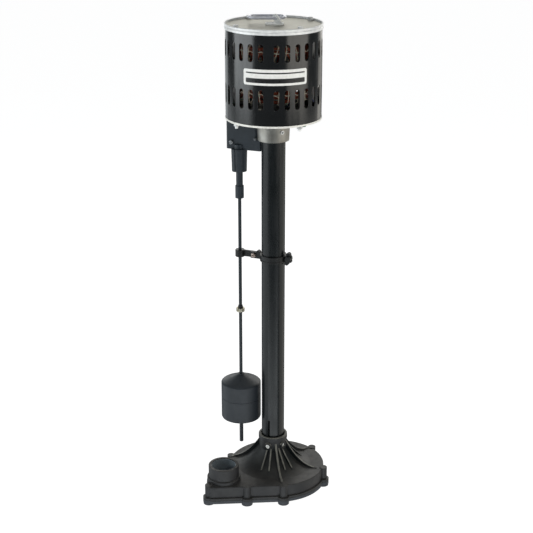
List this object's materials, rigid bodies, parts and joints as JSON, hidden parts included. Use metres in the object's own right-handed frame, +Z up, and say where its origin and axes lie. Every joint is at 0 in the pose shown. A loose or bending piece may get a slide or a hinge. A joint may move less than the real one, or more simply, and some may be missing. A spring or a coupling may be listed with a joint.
{
  "type": "pedestal sump pump",
  "caption": "Pedestal sump pump: vented motor on a column, pump foot with an upward threaded discharge, and a rod-and-float switch.",
  "frame": {"origin": "on the floor, on the axis of the column and shaft", "axes": "+Z up along the shaft, -Y towards the front, +X to the right"},
  "size_m": [0.2136, 0.1831, 0.8027],
  "materials": {
    "casing_plastic": "fine moulded texture, charcoal black",
    "float_plastic": "satin blow-moulded black",
    "switch_plastic": "spark-eroded black",
    "impeller_plastic": "glass-filled nylon",
    "black_paint": "gloss black enamel",
    "rod_coating": "black coated steel",
    "zinc_plate": "zinc plated",
    "die_cast": "as cast",
    "steel": "machined",
    "warm_zinc": "passivated zinc",
    "yellow_zinc": "yellow passivated zinc",
    "bronze": "sintered bronze",
    "copper_winding": "varnished copper",
    "black_rubber": "matt",
    "thermal_plastic": "phenolic",
    "ground_green": "green passivated"
  },
  "bodies": {
    "pump_body": {"volute_casing": "casing_plastic", "base_plate": "casing_plastic", "switch_housing": "switch_plastic", "switch_lid": "switch_plastic", "snap_switch": "switch_plastic", "column_bushing": "impeller_plastic", "motor_shell": "black_paint", "column_tube": "black_paint", "clamp_front": "black_paint", "clamp_rear": "black_paint", "clamp_bolt": "black_paint", "motor_top_cover": "zinc_plate", "through_bolts": "zinc_plate", "through_bolt_nuts": "zinc_plate", "base_screws": "zinc_plate", "socket_set_screw": "zinc_plate", "neck_set_screw": "zinc_plate", "switch_front_screws": "zinc_plate", "switch_lid_screws": "zinc_plate", "clamp_nuts": "zinc_plate", "bracket_rivets": "zinc_plate", "ring_bracket": "zinc_plate", "lower_end_bell": "die_cast", "stator_core": "steel", "upper_bearing": "steel", "lower_bearing": "steel", "lever_pin": "steel", "suction_strainer": "steel", "clamp_screw": "warm_zinc", "lower_bushing": "bronze", "stator_windings": "copper_winding", "slot_wedges": "copper_winding", "volute_gasket": "black_rubber", "shaft_seal": "black_rubber", "cord_grommet": "black_rubber", "thermal_protector": "thermal_plastic", "ground_screw": "ground_green"},
    "rotating_group": {"motor_shaft": "steel", "pump_shaft": "steel", "shaft_coupling": "steel", "coupling_set_screws": "zinc_plate", "rotor": "steel", "cooling_fan": "impeller_plastic", "impeller": "impeller_plastic", "impeller_nut": "zinc_plate"},
    "rod_group": {"float_rod": "rod_coating", "rod_coupler": "switch_plastic", "switch_plunger": "switch_plastic", "rod_stop": "yellow_zinc", "rod_stop_screw": "yellow_zinc", "rod_bumper": "black_rubber", "lower_stop": "black_rubber"},
    "float": {"float_lower": "float_plastic", "float_upper": "float_plastic"},
    "lever": {"switch_lever": "impeller_plastic"},
    "lifting_ring": {"lifting_ring": "zinc_plate"}
  },
  "joints": [
    {"name": "shaft_spin", "type": "hinge", "parent": "pump_body", "child": "rotating_group", "pos_m": [0, 0, 0.3], "axis": [0, 0, 1], "continuous": true},
    {"name": "rod_slide", "type": "slide", "parent": "pump_body", "child": "rod_group", "axis": [0, 0, 1], "range_m": [0, 0.012]},
    {"name": "float_slide", "type": "slide", "parent": "rod_group", "child": "float", "axis": [0, 0, 1], "range_m": [0, 0.113]},
    {"name": "lever_pivot", "type": "hinge", "parent": "pump_body", "child": "lever", "pos_m": [-0.03361, 0.0129, 0.594], "axis": [0.3584, 0.9336, 0], "range_deg": [0, 36]},
    {"name": "ring_swing", "type": "hinge", "parent": "pump_body", "child": "lifting_ring", "pos_m": [0, -0.006, 0.796], "axis": [1, 0, 0], "range_deg": [0, 100]}
  ],
  "couplings": [
    {"joint": "lever_pivot", "follows": "rod_slide", "rad_per_m": 50}
  ]
}
